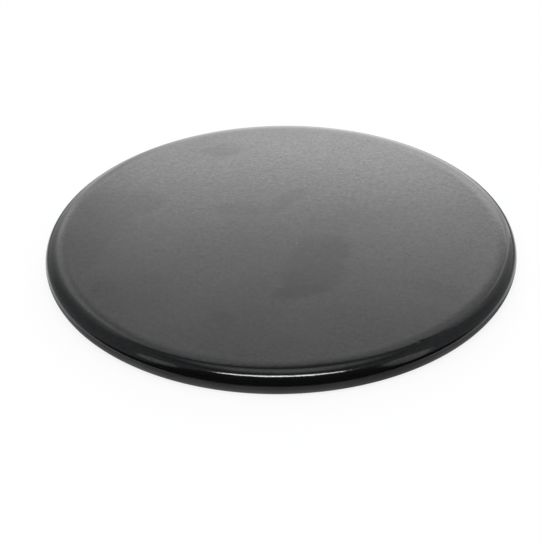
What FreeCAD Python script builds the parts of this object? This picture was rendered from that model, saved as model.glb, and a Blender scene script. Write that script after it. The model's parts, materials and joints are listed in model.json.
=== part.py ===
# Gas burner cap: the round lid that closes the top of a hob burner and spreads its flame.
#
# The cap is one iron casting under black enamel, and a solid of revolution about +Z. It has a flat top that eases
# down a little before it runs into a full-round edge. Underneath is a shallow recess with a flat seat for the
# burner's crown, and a ring that drops into the crown's bore and centres the cap on it. The inner flanks of the
# rim and of the ring are as cast, sloped and rounded. The seat and the outside of the ring are machined to fit
# the crown, so they meet in a sharp corner and the ring's foot has a lead-in chamfer.
#
# Millimetres, +Z up. The origin is on the axis, in the plane that the foot of the rim stands on.

import FreeCAD
import Part

import math
import os
from typing import NamedTuple

# Driving dimensions
CAP_DIAMETER = 100.0      # across the full-round edge
CAP_HEIGHT = 6.0          # foot of the rim to the top face
PLATE_THICKNESS = 3.0     # top face to the seat below it
TOP_EASE_RADIUS = 22.0    # gentle curve by which the top face starts to fall towards the edge
TOP_EASE_DEGREES = 5.0    # how far that curve has turned down where the round edge takes over
RIM_WIDTH = 5.0           # edge of the cap to the mouth of the recess
RIM_MOUTH_ROUNDING = 1.5  # inner edge of the rim's foot
RING_DIAMETER = 72.0      # outside of the locating ring, which the crown's bore fits over
RING_WALL = 2.5           # thickness of the locating ring at its foot
RING_SETBACK = 0.5        # foot of the rim to the foot of the ring, so that the cap stands on its rim
RING_LEAD_IN = 0.6        # chamfer at the foot of the ring's outside
RING_BORE_ROUNDING = 1.0  # inner edge of the ring's foot
CAST_FILLET = 1.5         # where a cast flank runs into the flat of the recess
FLANK_DEGREES = 45.0      # slope of the cast flanks away from the axis, so that the pattern draws out of the sand

# Sizes that follow from them
CAP_RADIUS = CAP_DIAMETER / 2
EASE_TURN = math.radians(TOP_EASE_DEGREES)
EDGE_ROUNDING = (CAP_HEIGHT - TOP_EASE_RADIUS * (1 - math.cos(EASE_TURN))) / (1 + math.cos(EASE_TURN))
SEAT_HEIGHT = CAP_HEIGHT - PLATE_THICKNESS
RING_RADIUS = RING_DIAMETER / 2
RING_HEIGHT = SEAT_HEIGHT - RING_SETBACK
FLANK_SLOPE = math.tan(math.radians(FLANK_DEGREES))

PARTS_FOLDER = "parts"
SHORTEST_RUN = 1e-6


class Corner(NamedTuple):
    """A corner of the half-section: its distance from the axis, its height, and how far it is rounded."""

    radius: float
    height: float
    rounding: float = 0.0

    def point(self):
        return FreeCAD.Vector(self.radius, 0, self.height)


def cap_corners():
    """The half-section of the cap, from the middle of its top face round to the middle of its underside."""
    edge_run = EDGE_ROUNDING * (1 - math.sin(EASE_TURN))
    ease_run = TOP_EASE_RADIUS * math.tan(EASE_TURN / 2) * math.cos(EASE_TURN)
    shoulder_height = CAP_HEIGHT - (edge_run + ease_run) * math.tan(EASE_TURN)
    mouth_radius = CAP_RADIUS - RIM_WIDTH
    ring_bore_radius = RING_RADIUS - RING_WALL
    top_and_edge = [
        Corner(0, CAP_HEIGHT),
        Corner(CAP_RADIUS - edge_run - ease_run, CAP_HEIGHT, TOP_EASE_RADIUS),
        Corner(CAP_RADIUS, shoulder_height, EDGE_ROUNDING),
        Corner(CAP_RADIUS, 0, EDGE_ROUNDING),
    ]
    rim_flank = [
        Corner(mouth_radius, 0, RIM_MOUTH_ROUNDING),
        Corner(mouth_radius - SEAT_HEIGHT * FLANK_SLOPE, SEAT_HEIGHT, CAST_FILLET),
    ]
    ring_outside = [
        Corner(RING_RADIUS, SEAT_HEIGHT),
        Corner(RING_RADIUS, RING_SETBACK + RING_LEAD_IN),
        Corner(RING_RADIUS - RING_LEAD_IN, RING_SETBACK),
    ]
    ring_flank = [
        Corner(ring_bore_radius, RING_SETBACK, RING_BORE_ROUNDING),
        Corner(ring_bore_radius - RING_HEIGHT * FLANK_SLOPE, SEAT_HEIGHT, CAST_FILLET),
    ]
    underside_middle = [Corner(0, SEAT_HEIGHT)]
    return top_and_edge + rim_flank + ring_outside + ring_flank + underside_middle


def rounded_corner(before, corner, after):
    """The points where a corner's arc starts, has its middle and ends. All three are the corner if it is sharp."""
    point = corner.point()
    if not corner.rounding:
        return point, point, point
    back = (before.point() - point).normalize()
    ahead = (after.point() - point).normalize()
    half_angle = back.getAngle(ahead) / 2
    tangent_length = corner.rounding / math.tan(half_angle)
    middle_offset = corner.rounding / math.sin(half_angle) - corner.rounding
    middle = point + (back + ahead).normalize() * middle_offset
    return point + back * tangent_length, middle, point + ahead * tangent_length


def section_face(corners):
    """The flat half-section inside the rounded corners, as straight runs joined by tangent arcs."""
    befores = corners[-1:] + corners[:-1]
    afters = corners[1:] + corners[:1]
    bends = [rounded_corner(*trio) for trio in zip(befores, corners, afters)]
    edges = []
    for (start, middle, end), (next_start, _, _) in zip(bends, bends[1:] + bends[:1]):
        if (end - start).Length > SHORTEST_RUN:
            edges.append(Part.Arc(start, middle, end).toShape())
        if (next_start - end).Length > SHORTEST_RUN:
            edges.append(Part.makeLine(end, next_start))
    return Part.Face(Part.Wire(edges))


def burner_cap():
    """The whole cap, turned from its half-section."""
    axis_point = FreeCAD.Vector(0, 0, 0)
    axis = FreeCAD.Vector(0, 0, 1)
    return section_face(cap_corners()).revolve(axis_point, axis, 360)


def main():
    cap = burner_cap()
    os.makedirs(PARTS_FOLDER, exist_ok=True)
    cap.exportStep(os.path.join(PARTS_FOLDER, "burner_cap.step"))
    print(f"burner_cap: valid {cap.isValid()}, {len(cap.Solids)} solid, {cap.Volume:.1f} mm3")


main()
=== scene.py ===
"""Looks of a gas burner cap: a black enamelled lid with a flat top and a full-round edge, on a pale floor.

Metres, +Z up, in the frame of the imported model. The cap stands on the floor with its axis on Z.
"""

import json
import math
from typing import NamedTuple

import bmesh
import bpy
from mathutils import Matrix, Vector


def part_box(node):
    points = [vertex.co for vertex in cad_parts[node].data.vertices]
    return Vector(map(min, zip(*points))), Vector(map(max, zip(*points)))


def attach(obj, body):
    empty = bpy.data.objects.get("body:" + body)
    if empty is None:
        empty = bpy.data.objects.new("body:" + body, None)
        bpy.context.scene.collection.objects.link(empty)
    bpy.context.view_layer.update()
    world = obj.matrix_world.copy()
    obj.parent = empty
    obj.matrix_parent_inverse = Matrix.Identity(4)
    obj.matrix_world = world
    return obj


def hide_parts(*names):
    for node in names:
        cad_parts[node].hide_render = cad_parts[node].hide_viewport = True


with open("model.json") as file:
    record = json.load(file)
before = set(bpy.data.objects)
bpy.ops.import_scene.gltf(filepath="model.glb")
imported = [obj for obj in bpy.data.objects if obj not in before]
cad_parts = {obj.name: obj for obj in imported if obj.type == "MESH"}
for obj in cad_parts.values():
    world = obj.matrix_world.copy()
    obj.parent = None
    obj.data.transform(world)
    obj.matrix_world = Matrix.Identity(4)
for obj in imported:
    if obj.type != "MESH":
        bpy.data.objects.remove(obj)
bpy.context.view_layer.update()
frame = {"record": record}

MM = 0.001
WHITE = (1, 1, 1, 1)
NODE = "burner_cap"

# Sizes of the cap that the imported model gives
HIGH_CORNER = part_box(NODE)[1]
CAP_RADIUS = HIGH_CORNER.x
CAP_HEIGHT = HIGH_CORNER.z
MOUNTS = {mount["name"]: mount for mount in frame["record"]["mounts"]}
SEAT_HEIGHT = MOUNTS["crown_seat"]["pos_m"][2]
RING_RADIUS = MOUNTS["locating_ring"]["dims"]["r_mm"] * MM
RING_WALL_FOOT = MOUNTS["locating_ring"]["pos_m"][2] - MOUNTS["locating_ring"]["dims"]["length_mm"] * MM / 2

# Sizes of the cap's section that are only in its solid
TOP_EASE_RADIUS = 22.0 * MM
TOP_EASE_TURN = math.radians(5.0)
RIM_WIDTH = 5.0 * MM
RIM_MOUTH_ROUNDING = 1.5 * MM
RING_WALL = 2.5 * MM
RING_LEAD_IN = 0.6 * MM
RING_BORE_ROUNDING = 1.0 * MM
CAST_FILLET = 1.5 * MM

# How finely the cap is turned
TURN_STEPS = 384
ARC_STEP = math.radians(3.0)
FEWEST_ARC_STEPS = 5
SHORTEST_RUN = 1e-7
FLAT_MARGIN = 0.4 * MM
LONG_FLAT = 4 * FLAT_MARGIN
SHARP_ANGLE = math.radians(20)

# The photograph's view: where the camera stands and how it is held
VIEW_DISTANCE = 12.0 * CAP_RADIUS
VIEW_ELEVATION = math.radians(33.137)
VIEW_ROLL = math.radians(-1.077)
VIEW_ASIDE = -0.0474 * CAP_RADIUS
VIEW_ABOVE = -0.0303 * CAP_RADIUS
IMAGE_SIDE = 540
FOCAL_PIXELS = 2812.9
SENSOR_WIDTH = 36.0
NEAREST_SEEN = 0.01


class Corner:
    """A corner of the cap's half-section: distance from the axis, height, and how far it is rounded."""

    def __init__(self, radius, height, rounding=0.0):
        self.place = Vector((radius, height))
        self.rounding = rounding


def cap_corners():
    """The half-section of the cap, from the middle of its top face round to the middle of its underside.

    The cast flanks under the cap slope at 45 degrees, so they go in as far as they go up.
    """
    edge_rounding = (CAP_HEIGHT - TOP_EASE_RADIUS * (1 - math.cos(TOP_EASE_TURN))) / (1 + math.cos(TOP_EASE_TURN))
    edge_run = edge_rounding * (1 - math.sin(TOP_EASE_TURN))
    ease_run = TOP_EASE_RADIUS * math.tan(TOP_EASE_TURN / 2) * math.cos(TOP_EASE_TURN)
    shoulder_height = CAP_HEIGHT - (edge_run + ease_run) * math.tan(TOP_EASE_TURN)
    mouth_radius = CAP_RADIUS - RIM_WIDTH
    ring_foot = RING_WALL_FOOT - RING_LEAD_IN
    ring_bore = RING_RADIUS - RING_WALL
    return [
        Corner(0, CAP_HEIGHT),
        Corner(CAP_RADIUS - edge_run - ease_run, CAP_HEIGHT, TOP_EASE_RADIUS),
        Corner(CAP_RADIUS, shoulder_height, edge_rounding),
        Corner(CAP_RADIUS, 0, edge_rounding),
        Corner(mouth_radius, 0, RIM_MOUTH_ROUNDING),
        Corner(mouth_radius - SEAT_HEIGHT, SEAT_HEIGHT, CAST_FILLET),
        Corner(RING_RADIUS, SEAT_HEIGHT),
        Corner(RING_RADIUS, RING_WALL_FOOT),
        Corner(RING_RADIUS - RING_LEAD_IN, ring_foot),
        Corner(ring_bore, ring_foot, RING_BORE_ROUNDING),
        Corner(ring_bore - (SEAT_HEIGHT - ring_foot), SEAT_HEIGHT, CAST_FILLET),
        Corner(0, SEAT_HEIGHT),
    ]


def corner_points(before, corner, after):
    """The points of a corner's arc in order, or the corner itself if it is sharp."""
    if not corner.rounding:
        return [corner.place]
    back = (before.place - corner.place).normalized()
    ahead = (after.place - corner.place).normalized()
    half_angle = back.angle(ahead) / 2
    start = corner.place + back * (corner.rounding / math.tan(half_angle))
    centre = corner.place + (back + ahead).normalized() * (corner.rounding / math.sin(half_angle))
    arm = start - centre
    turn = math.pi - 2 * half_angle
    if back.x * ahead.y - back.y * ahead.x > 0:
        turn = -turn
    steps = max(FEWEST_ARC_STEPS, math.ceil(abs(turn) / ARC_STEP))
    return [centre + Matrix.Rotation(turn * step / steps, 2) @ arm for step in range(steps + 1)]


def section_points():
    """The half-section as points, with one more near each end of a long flat, so that its shading stays flat."""
    corners = cap_corners()
    points = [corners[0].place]
    for before, corner, after in zip(corners, corners[1:], corners[2:]):
        points += corner_points(before, corner, after)
    points.append(corners[-1].place)
    spaced = [points[0]]
    for start, end in zip(points, points[1:]):
        run = end - start
        if run.length > SHORTEST_RUN:
            if run.length > LONG_FLAT:
                margin = run.normalized() * FLAT_MARGIN
                spaced += [start + margin, end - margin]
            spaced.append(end)
    return spaced


def finished_mesh(name, shape):
    """The mesh of a bmesh, which is freed."""
    mesh = bpy.data.meshes.new(name)
    shape.to_mesh(mesh)
    shape.free()
    return mesh


def turned_mesh(name, points):
    """A mesh turned about Z from half-section points that start and end on the axis."""
    shape = bmesh.new()
    turns = [2 * math.pi * step / TURN_STEPS for step in range(TURN_STEPS)]
    top = shape.verts.new((0, 0, points[0].y))
    rings = []
    for point in points[1:-1]:
        rings.append([shape.verts.new((point.x * math.cos(t), point.x * math.sin(t), point.y)) for t in turns])
    low = shape.verts.new((0, 0, points[-1].y))
    for step in range(TURN_STEPS):
        after = (step + 1) % TURN_STEPS
        shape.faces.new((top, rings[0][step], rings[0][after]))
        for ring, next_ring in zip(rings, rings[1:]):
            shape.faces.new((ring[step], next_ring[step], next_ring[after], ring[after]))
        shape.faces.new((rings[-1][step], low, rings[-1][after]))
    for face in shape.faces:
        face.smooth = True
    mesh = finished_mesh(name, shape)
    mesh.set_sharp_from_angle(angle=SHARP_ANGLE)
    return mesh


def quad_mesh(name, corners):
    """A mesh of one face with four corners."""
    mesh = bpy.data.meshes.new(name)
    mesh.from_pydata(corners, [], [(0, 1, 2, 3)])
    return mesh


def add_object(name, data):
    thing = bpy.data.objects.new(name, data)
    bpy.context.scene.collection.objects.link(thing)
    return thing


class Nodes:
    """Adds nodes to a material or world and links them by socket name."""

    def __init__(self, owner):
        owner.use_nodes = True
        self.tree = owner.node_tree
        self.tree.nodes.clear()

    def add(self, kind, inputs=None, **settings):
        node = self.tree.nodes.new(kind)
        for key, value in settings.items():
            setattr(node, key, value)
        for socket, value in (inputs or {}).items():
            if isinstance(value, bpy.types.NodeSocket):
                self.tree.links.new(value, node.inputs[socket])
            else:
                node.inputs[socket].default_value = value
        return node

    def math(self, operation, *values):
        return self.add("ShaderNodeMath", dict(enumerate(values)), operation=operation).outputs[0]

    def vector(self, operation, *values):
        """A vector worked out from vectors."""
        return self.add("ShaderNodeVectorMath", dict(enumerate(values)), operation=operation).outputs["Vector"]

    def measure(self, operation, *values):
        """A number worked out from vectors: a length or a distance."""
        return self.add("ShaderNodeVectorMath", dict(enumerate(values)), operation=operation).outputs["Value"]

    def place(self):
        return self.add("ShaderNodeTexCoord").outputs["Object"]

    def axes(self, vector):
        return self.add("ShaderNodeSeparateXYZ", {0: vector}).outputs

    def noise(self, place, scale, detail):
        return self.add("ShaderNodeTexNoise", {"Vector": place, "Scale": scale, "Detail": detail}).outputs

    def mix(self, factor, low, high, data_type="FLOAT"):
        """low where the factor is 0 and high where it is 1."""
        return self.add("ShaderNodeMix", {"Factor": factor, "A": low, "B": high}, data_type=data_type).outputs["Result"]

    def ramp(self, value, start, end, low, high):
        """low where the value is at start or before it, high at end or beyond, and a smooth step between them."""
        return self.add("ShaderNodeMapRange", {"Value": value, "From Min": start, "From Max": end,
                                               "To Min": low, "To Max": high},
                        interpolation_type="SMOOTHSTEP").outputs["Result"]

    def aside(self, value, middle):
        """How far a value is from the middle, on either side."""
        return self.math("ABSOLUTE", self.math("SUBTRACT", value, middle))

    def hump(self, value, middle, spread, height):
        """A bell curve over a value."""
        steps = self.math("DIVIDE", self.math("SUBTRACT", value, middle), spread)
        bell = self.math("EXPONENT", self.math("MULTIPLY", self.math("POWER", steps, 2.0), -0.5))
        return self.math("MULTIPLY", bell, height)

    def spot(self, place, smear):
        """Distance from the middle of a smear on the top, as a multiple of its half length and width."""
        own = self.add("ShaderNodeMapping", {
            "Vector": place,
            "Location": (smear.x * MM, smear.y * MM, 0),
            "Rotation": (0, 0, math.radians(smear.turn)),
            "Scale": (smear.half_length * MM, smear.half_width * MM, 1),
        }, vector_type="TEXTURE").outputs["Vector"]
        return self.measure("LENGTH", own)

    def seen(self):
        """1 for rays from the camera, a reflection or glass, and 0 for rays that only carry light."""
        path = self.add("ShaderNodeLightPath").outputs
        reflected = self.math("MAXIMUM", path["Is Camera Ray"], path["Is Glossy Ray"])
        return self.math("MAXIMUM", reflected, path["Is Transmission Ray"])

    def glow(self, colour, strength):
        return self.add("ShaderNodeEmission", {"Color": colour, "Strength": strength}).outputs[0]

    def surface(self, shader):
        self.add("ShaderNodeOutputMaterial", {"Surface": shader})

    def clear_glow_surface(self, colour, strength):
        """A surface that gives light and hides nothing behind it."""
        glow = self.glow(colour, strength)
        clear = self.add("ShaderNodeBsdfTransparent").outputs[0]
        self.surface(self.add("ShaderNodeAddShader", {0: glow, 1: clear}).outputs[0])


class Smear(NamedTuple):
    """A faint smear on the top: its middle, half its length and width in millimetres, how many degrees it is
    turned, and how much it dulls."""

    x: float
    y: float
    half_length: float
    half_width: float
    turn: float
    depth: float


# Marks on the top. A mark starts at the first multiple of its size and is full at the second.
SMEARS = (
    Smear(-12.2, 37.8, 5.0, 2.3, 0, 0.27),
    Smear(-29.5, 16.0, 4.2, 4.6, 0, 0.17),
    Smear(-37.0, 13.0, 6.5, 8.5, 0, 0.16),
    Smear(-41.0, 0.0, 4.5, 9.5, 0, 0.12),
    Smear(-8.5, 12.3, 7.5, 2.2, 4, 0.13),
    Smear(2.2, 16.0, 6.0, 2.1, 42, 0.16),
    Smear(14.0, 10.0, 10.0, 6.0, -15, 0.06),
    Smear(7.0, -8.5, 9.8, 6.0, 68, 0.2),
    Smear(4.2, -20.0, 5.6, 2.9, 22, 0.3),
    Smear(4.8, -16.0, 4.4, 5.0, 0, 0.24),
    Smear(8.8, -12.5, 5.0, 5.4, 0, 0.23),
    Smear(10.5, -5.5, 4.2, 4.6, 0, 0.25),
    Smear(31.5, -20.5, 7.0, 2.2, -32, 0.1),
    Smear(-37.0, -18.0, 3.2, 3.6, 0, 0.19),
    Smear(-33.0, -19.0, 9.0, 6.5, -40, 0.08),
    Smear(-27.8, -14.1, 2.6, 3.0, 0, 0.1),
    Smear(-12.1, -30.7, 2.6, 3.2, 0, 0.1),
)
SMEAR_EDGE = (1.35, 0.65)
SMEAR_STRAY = 7.0 * MM
# Pale specks painted into the colour of the top
PALE_SPECKS = (
    Smear(-6.3, 25.1, 0.3, 0.3, 0, 1),
    Smear(3.3, -1.6, 0.2, 0.2, 0, 1),
    Smear(5.0, 36.1, 0.3, 0.3, 0, 1),
)
PALE_SPECK_EDGE = (1.2, 0.6)
PALE_SPECK_COLOUR = (0.06, 0.06, 0.06, 1)
NICK = Smear(27.6, -38.8, 0.9, 0.35, 35, 1)
NICK_EDGE = (1.3, 0.3)
NICK_DEPTH = 0.02 * MM

# The glossy coat, and the ground coat that shows where the surface no longer faces up
COAT_COLOUR = (0.0022, 0.0022, 0.0023, 1)
COAT_ROUGHNESS = (0.095, 0.125)
COAT_IOR = 1.52
GROUND_FACING = (0.12, 0.03)
GROUND_DARK = (0.006, 0.0058, 0.0056, 1)
GROUND_PALE = (0.012, 0.0118, 0.0114, 1)
GROUND_MOTTLE_SPAN = (0.35, 0.65)
GROUND_ROUGHNESS = (0.52, 0.68)
GROUND_TINT = 0.58
GROUND_RELIEF = 0.03 * MM

# Noises of the coat: how many to a metre, and their detail. Most of a noise lies within the span.
NOISE_SPAN = (0.3, 0.7)
WOBBLE = (170.0, 5.0)
SPECKLE = (1900.0, 2.0)
SPECKLE_TINT = (0.71, 1.0)
CLOUD = (55.0, 3.0)
GRAIN = (3500.0, 1.0)
PEEL = (800.0, 1.0)

# Relief of the coat on the top and at the edge, and the distances from the axis between which it changes
GRAIN_RELIEF = (0.0072 * MM, 0.003 * MM)
GRAIN_REACH = (0.93 * CAP_RADIUS, 0.97 * CAP_RADIUS)
PEEL_RELIEF = (0.004 * MM, 0.01 * MM)
PEEL_REACH = (0.88 * CAP_RADIUS, 0.95 * CAP_RADIUS)


def enamel():
    """Black enamel: a glossy coat over the top and down to the middle of the edge, and a dull ground coat below.

    The coat has a speckle and a fine grain, and it is wavier near the edge. Faint smears, a few pale specks and one
    nick are on the top.
    """
    material = bpy.data.materials.new("black_enamel")
    nodes = Nodes(material)
    coordinates = nodes.add("ShaderNodeTexCoord").outputs
    place = coordinates["Object"]
    facing = nodes.axes(coordinates["Normal"])["Z"]
    ground = nodes.ramp(facing, *GROUND_FACING, 0.0, 1.0)
    flat_place = nodes.vector("MULTIPLY", place, (1, 1, 0))
    reach = nodes.measure("LENGTH", flat_place)

    wobble = nodes.noise(place, *WOBBLE)
    shift = nodes.vector("SUBTRACT", wobble["Color"], (0.5, 0.5, 0.5))
    strayed = nodes.vector("MULTIPLY_ADD", shift, (SMEAR_STRAY, SMEAR_STRAY, 0), flat_place)
    speckle = nodes.noise(place, *SPECKLE)["Fac"]
    clean = 1.0
    for smear in SMEARS:
        dulled = nodes.ramp(nodes.spot(strayed, smear), *SMEAR_EDGE, 1.0, 1 - smear.depth)
        clean = nodes.math("MINIMUM", clean, dulled)
    clean = nodes.math("MULTIPLY", clean, nodes.ramp(speckle, *NOISE_SPAN, *SPECKLE_TINT))
    clean = nodes.mix(ground, clean, GROUND_TINT)
    tint = nodes.add("ShaderNodeCombineColor", {"Red": clean, "Green": clean, "Blue": clean}).outputs["Color"]
    # Pale specks painted into the colour of the top, kept off the ground coat
    pale_specks = 0.0
    for speck in PALE_SPECKS:
        pale_specks = nodes.math("MAXIMUM", pale_specks, nodes.ramp(nodes.spot(flat_place, speck), *PALE_SPECK_EDGE, 0.0, 1.0))
    pale_specks = nodes.math("MULTIPLY", pale_specks, nodes.ramp(ground, 0.0, 1.0, 1.0, 0.0))

    cloud = nodes.noise(place, *CLOUD)["Fac"]
    gloss = nodes.ramp(cloud, *NOISE_SPAN, *COAT_ROUGHNESS)
    dullness = nodes.ramp(cloud, *NOISE_SPAN, *GROUND_ROUGHNESS)
    roughness = nodes.mix(ground, gloss, dullness)
    paleness = nodes.ramp(wobble["Fac"], *GROUND_MOTTLE_SPAN, 0.0, 1.0)
    mottle = nodes.mix(paleness, GROUND_DARK, GROUND_PALE, "RGBA")
    coat = nodes.mix(ground, COAT_COLOUR, mottle, "RGBA")
    colour = nodes.mix(pale_specks, coat, PALE_SPECK_COLOUR, "RGBA")

    grain = nodes.noise(place, *GRAIN)["Fac"]
    peel = nodes.noise(place, *PEEL)["Fac"]
    peel_relief = nodes.ramp(reach, *PEEL_REACH, *PEEL_RELIEF)
    peel_relief = nodes.math("MULTIPLY_ADD", ground, GROUND_RELIEF, peel_relief)
    nick = nodes.ramp(nodes.spot(flat_place, NICK), *NICK_EDGE, 0.0, -NICK_DEPTH)
    height = nodes.math("MULTIPLY_ADD", peel, peel_relief, nick)
    grain_relief = nodes.ramp(reach, *GRAIN_REACH, *GRAIN_RELIEF)
    height = nodes.math("MULTIPLY_ADD", grain, grain_relief, height)
    bump = nodes.add("ShaderNodeBump", {"Height": height, "Strength": 1.0, "Distance": 1.0}).outputs["Normal"]
    shader = nodes.add("ShaderNodeBsdfPrincipled", {
        "Base Color": colour,
        "Roughness": roughness,
        "IOR": COAT_IOR,
        "Specular Tint": tint,
        "Normal": bump,
    })
    nodes.surface(shader.outputs["BSDF"])
    return material


def add_cap():
    cap = add_object("enamelled_cap", turned_mesh("enamelled_cap", section_points()))
    cap.data.materials.append(enamel())
    weighted = cap.modifiers.new("flat_faces_stay_flat", "WEIGHTED_NORMAL")
    weighted.keep_sharp = True
    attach(cap, "root")
    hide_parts(NODE)


# The floor, whose own glow stops under the cap between two distances from the axis: a painted shade under the cap,
# which its edge reflects
FLOOR_SIDE = 5.0
FLOOR_COLOUR = (0.92, 0.92, 0.92, 1.0)
FLOOR_GLOW = 0.86
FLOOR_PAINTED_SHADE_REACH = (0.9 * CAP_RADIUS, 0.96 * CAP_RADIUS)


def add_floor():
    """A white floor that is bright by itself in part, so that the cap's shadow on it is faint. Its glow is taken away
    under the cap, which paints a shade there.
    """
    half = FLOOR_SIDE / 2
    mesh = quad_mesh("floor", [(-half, -half, 0), (half, -half, 0), (half, half, 0), (-half, half, 0)])
    floor = add_object("floor", mesh)
    material = bpy.data.materials.new("pale_floor")
    nodes = Nodes(material)
    matte = nodes.add("ShaderNodeBsdfDiffuse", {"Color": FLOOR_COLOUR}).outputs[0]
    glow = nodes.glow(WHITE, 1.0)
    reach = nodes.measure("LENGTH", nodes.place())
    # The glow fades out under the cap: painted shade that the cap's lower edge reflects
    share = nodes.math("MULTIPLY", nodes.seen(), nodes.ramp(reach, *FLOOR_PAINTED_SHADE_REACH, 0.0, FLOOR_GLOW))
    nodes.surface(nodes.add("ShaderNodeMixShader", {0: share, 1: matte, 2: glow}).outputs[0])
    mesh.materials.append(material)


def add_unseen(name, mesh, material):
    """A part of the stage that lights the cap or shows in its gloss, and that the camera doesn't see."""
    thing = add_object(name, mesh)
    mesh.materials.append(material)
    thing.visible_camera = False
    thing.visible_shadow = False
    return thing


# Dim cloth round the stage. Its directions are shares of a unit vector along Y, which runs back, or along Z.
DOME_RADIUS = 2.4
DOME_SEGMENTS = 48
CLOTH_COLOUR = (0.92, 0.97, 1.0, 1.0)
FRONT_GLOW = 0.07
FRONT_FOOT_GLOW = 0.4 * FRONT_GLOW
SIDE_GLOW = 0.44
BACK_GLOW = 0.19
CEILING_SHARE = 0.4
FRONT_RISE_Z = (0.1, 0.5)
FRONT_TO_SIDE_Y = (-0.62, -0.35)
SIDE_TO_BACK_Y = (0.35, 0.65)
WALL_TO_CEILING_Z = (0.8, 0.97)

# A flat ring of the same cloth on the floor, in degrees from behind the cap
FLAG_INNER = 58 * MM
FLAG_OUTER = 600 * MM
FLAG_LIFT = 0.05 * MM
FLAG_OPENING = 45
FLAG_STEP = 3


def dim_cloth():
    """Cloth by its direction from the cap: nearly black in front, dim at the sides and darker again behind."""
    material = bpy.data.materials.new("dim_cloth")
    nodes = Nodes(material)
    axes = nodes.axes(nodes.vector("NORMALIZE", nodes.place()))
    front_glow = nodes.ramp(axes["Z"], *FRONT_RISE_Z, FRONT_FOOT_GLOW, FRONT_GLOW)
    front = nodes.ramp(axes["Y"], *FRONT_TO_SIDE_Y, front_glow, SIDE_GLOW)
    back = nodes.ramp(axes["Y"], *SIDE_TO_BACK_Y, 0.0, SIDE_GLOW - BACK_GLOW)
    wall = nodes.math("SUBTRACT", front, back)
    level = nodes.math("MULTIPLY", wall, nodes.ramp(axes["Z"], *WALL_TO_CEILING_Z, 1.0, CEILING_SHARE))
    nodes.surface(nodes.glow(CLOTH_COLOUR, level))
    return material


def around(distance, azimuth, elevation):
    """A place round the cap, by degrees: azimuth 0 is behind it and 90 to its right, elevation 90 is overhead."""
    turn = math.radians(azimuth)
    rise = math.radians(elevation)
    return distance * Vector((math.sin(turn) * math.cos(rise), math.cos(turn) * math.cos(rise), math.sin(rise)))


def add_walls():
    """A dome of dim cloth round the stage, and a flag of it on the floor round the sides and front of the cap,
    which darken the reflections in the cap's edge. Only reflections see the flag."""
    cloth = dim_cloth()
    shape = bmesh.new()
    bmesh.ops.create_uvsphere(shape, u_segments=DOME_SEGMENTS, v_segments=DOME_SEGMENTS // 2, radius=DOME_RADIUS)
    add_unseen("walls", finished_mesh("walls", shape), cloth)
    shape = bmesh.new()
    turns = range(FLAG_OPENING, 360 - FLAG_OPENING + 1, FLAG_STEP)
    lift = Vector((0, 0, FLAG_LIFT))
    inner, outer = [[shape.verts.new(around(radius, turn, 0) + lift) for turn in turns]
                    for radius in (FLAG_INNER, FLAG_OUTER)]
    for step in range(len(turns) - 1):
        shape.faces.new((inner[step], inner[step + 1], outer[step + 1], outer[step]))
    flag = add_unseen("flag", finished_mesh("flag", shape), cloth)
    flag.visible_diffuse = False


class Streak(NamedTuple):
    """An upright streak of light on the card: its middle, its radiance and how far it reaches to each side."""

    x: float
    radiance: float
    half_width: float


class Gleam(NamedTuple):
    """A round patch on the card that is lighter, or darker where its radiance is below zero."""

    x: float
    z: float
    radius: float
    radiance: float


# The lit card behind the cap. Its beam has levels at heights above the floor, its halo is wider and fainter.
CARD_DISTANCE = 0.6
CARD_SIDE = 2.6
CARD_HEIGHT = 1.2
BEAM_RADIANCE = 3.4
BEAM_LEVELS = (
    (0.0, 0.55), (0.12, 0.85), (0.22, 0.88), (0.29, 0.84), (0.32, 0.92), (0.338, 1.52), (0.345, 1.02),
    (0.36, 0.58), (0.37, 0.42), (0.392, 0.28), (0.413, 0.18), (0.435, 0.085), (0.455, 0.0),
)
BEAM_MIDDLE = 0.048
BEAM_SPREAD = 0.16
HALO_RADIANCE = 0.84
HALO_MIDDLE = 0.114
HALO_SPREAD = 0.525
HALO_TOP = (0.51, 0.64)
HALO_DIP = 0.03
HALO_RISE = 0.85
SEAM = -0.109
SEAM_HALF_WIDTH = 0.05
SEAM_DEPTH = 0.25
STREAKS = (Streak(-0.16, 0.38, 0.05), Streak(0.38, 0.8, 0.08))
STREAK_TOP = (0.5, 0.75)
GLEAMS = (
    Gleam(-0.25, 0.48, 0.16, 0.35),
    Gleam(0.33, 0.48, 0.1, 0.45),
    Gleam(0.12, 0.41, 0.06, 0.4),
    Gleam(0.15, 0.345, 0.08, -0.5),
    Gleam(-0.14, 0.345, 0.08, -0.2),
    Gleam(0.01, 0.372, 0.07, -0.22),
)


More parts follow.
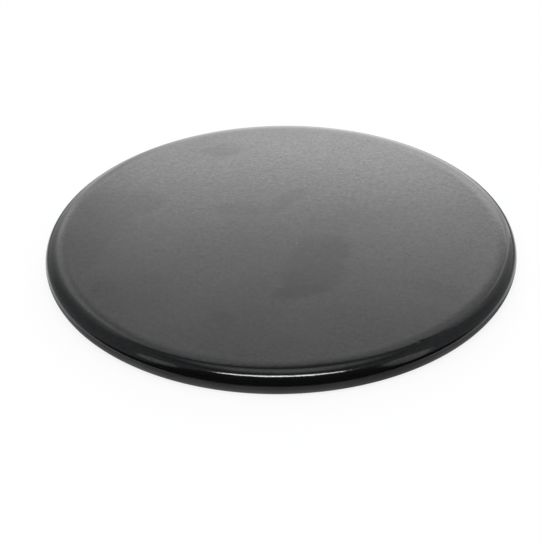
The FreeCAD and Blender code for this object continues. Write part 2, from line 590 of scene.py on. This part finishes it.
def card_level(nodes):
    """The radiance of the card at each place: a beam and a halo with a seam, and streaks and gleams on them."""
    place = nodes.place()
    axes = nodes.axes(place)
    fade = nodes.add("ShaderNodeValToRGB", {0: nodes.math("DIVIDE", axes["Z"], CARD_HEIGHT)})
    stops = fade.color_ramp.elements
    for height, _ in BEAM_LEVELS[1:-1]:
        stops.new(height / CARD_HEIGHT)
    for stop, (height, share) in zip(stops, BEAM_LEVELS):
        stop.position = height / CARD_HEIGHT
        stop.color = (share, share, share, 1)
    across = nodes.hump(axes["X"], BEAM_MIDDLE, BEAM_SPREAD, BEAM_RADIANCE)
    beam = nodes.math("MULTIPLY", across, fade.outputs[0])
    lowered = nodes.math("MULTIPLY_ADD", nodes.aside(axes["X"], HALO_DIP), -HALO_RISE, axes["Z"])
    across = nodes.hump(axes["X"], HALO_MIDDLE, HALO_SPREAD, HALO_RADIANCE)
    halo = nodes.math("MULTIPLY", across, nodes.ramp(lowered, *HALO_TOP, 1.0, 0.0))
    seam = nodes.ramp(nodes.aside(axes["X"], SEAM), 0.0, SEAM_HALF_WIDTH, 1 - SEAM_DEPTH, 1.0)
    level = nodes.math("MULTIPLY", nodes.math("ADD", beam, halo), seam)
    for streak in STREAKS:
        across = nodes.ramp(nodes.aside(axes["X"], streak.x), 0.0, streak.half_width, streak.radiance, 0.0)
        light = nodes.math("MULTIPLY", across, nodes.ramp(axes["Z"], *STREAK_TOP, 1.0, 0.0))
        level = nodes.math("ADD", level, light)
    for gleam in GLEAMS:
        away = nodes.measure("DISTANCE", place, (gleam.x, 0, gleam.z))
        level = nodes.math("ADD", level, nodes.ramp(away, 0.0, gleam.radius, gleam.radiance, 0.0))
    return level


def add_back_card():
    """A lit card behind the cap, bright low down and fading upwards and to its sides, which the top reflects."""
    half = CARD_SIDE / 2
    mesh = quad_mesh("back_card", [(-half, 0, 0), (half, 0, 0), (half, 0, CARD_HEIGHT), (-half, 0, CARD_HEIGHT)])
    material = bpy.data.materials.new("lit_card")
    nodes = Nodes(material)
    nodes.clear_glow_surface(WHITE, card_level(nodes))
    card = add_unseen("back_card", mesh, material)
    card.location.y = CARD_DISTANCE


# The soft light over the cap, even within the inner radius
OVERHEAD_PLACE = (0.01, 0.1, 0.8)
OVERHEAD_INNER = 0.05
OVERHEAD_OUTER = 0.42
OVERHEAD_STRETCH = 0.95
OVERHEAD_SEGMENTS = 48
OVERHEAD_RADIANCE = 1.3
OVERHEAD_COLOUR = (0.94, 0.965, 1.0, 1.0)


def add_overhead_card():
    """A soft round light over the cap that fades towards its edge."""
    shape = bmesh.new()
    bmesh.ops.create_circle(shape, cap_ends=True, segments=OVERHEAD_SEGMENTS, radius=OVERHEAD_OUTER)
    material = bpy.data.materials.new("soft_light")
    nodes = Nodes(material)
    reach = nodes.measure("LENGTH", nodes.place())
    level = nodes.ramp(reach, OVERHEAD_INNER, OVERHEAD_OUTER, OVERHEAD_RADIANCE, 0.0)
    nodes.clear_glow_surface(OVERHEAD_COLOUR, level)
    card = add_unseen("overhead_card", finished_mesh("overhead_card", shape), material)
    card.scale.x = OVERHEAD_STRETCH
    card.location = OVERHEAD_PLACE


class Lamp(NamedTuple):
    """An oval lamp that faces the cap: where it stands in degrees, as around() has them, its size and radiance."""

    name: str
    azimuth: float
    elevation: float
    width: float
    height: float
    radiance: float


LAMP_DISTANCE = 1.0
LAMPS = (
    Lamp("front_strip", 181.5, 56, 0.84, 0.145, 22.5),
    Lamp("left_panel", -119, 28, 0.32, 0.46, 0.75),
    Lamp("right_panel", 122, 21, 0.4, 0.7, 0.85),
)
WORLD_LIGHT = 0.05


def add_lamp(lamp):
    light = bpy.data.lights.new(lamp.name, "AREA")
    light.shape = "ELLIPSE"
    light.size = lamp.width
    light.size_y = lamp.height
    area = lamp.width * lamp.height * math.pi / 4
    light.energy = lamp.radiance * math.pi * area
    place = around(LAMP_DISTANCE, lamp.azimuth, lamp.elevation)
    thing = add_object(lamp.name, light)
    thing.location = place
    thing.rotation_euler = (-place).to_track_quat("-Z", "Y").to_euler()
    thing.visible_camera = False


def add_world():
    """White behind everything that the camera, a reflection or glass sees past the stage, and dark as a light."""
    world = bpy.data.worlds.new("surroundings")
    bpy.context.scene.world = world
    nodes = Nodes(world)
    white = nodes.add("ShaderNodeBackground", {"Color": WHITE, "Strength": 1.0})
    dim = nodes.add("ShaderNodeBackground", {"Color": WHITE, "Strength": WORLD_LIGHT})
    mix = nodes.add("ShaderNodeMixShader", {0: nodes.seen(), 1: dim.outputs[0], 2: white.outputs[0]})
    nodes.add("ShaderNodeOutputWorld", {"Surface": mix.outputs[0]})


def add_camera():
    """The camera at the photograph's viewing angle, distance and tilt, with the lens axis in the image's middle."""
    back = Vector((0, -math.cos(VIEW_ELEVATION), math.sin(VIEW_ELEVATION)))
    level_right = Vector((1, 0, 0))
    level_up = back.cross(level_right)
    right = level_right * math.cos(VIEW_ROLL) + level_up * math.sin(VIEW_ROLL)
    up = back.cross(right)
    place = back * VIEW_DISTANCE + right * VIEW_ASIDE + up * VIEW_ABOVE
    data = bpy.data.cameras.new("camera")
    data.sensor_fit = "HORIZONTAL"
    data.sensor_width = SENSOR_WIDTH
    data.lens = FOCAL_PIXELS / IMAGE_SIDE * SENSOR_WIDTH
    data.clip_start = NEAREST_SEEN
    camera = add_object("camera", data)
    turn = Matrix((right, up, back)).transposed()
    camera.matrix_world = Matrix.Translation(place) @ turn.to_4x4()
    bpy.context.scene.camera = camera


add_cap()
add_floor()
add_walls()
add_back_card()
add_overhead_card()
for lamp in LAMPS:
    add_lamp(lamp)
add_world()
add_camera()
bpy.context.scene.view_settings.view_transform = "Standard"
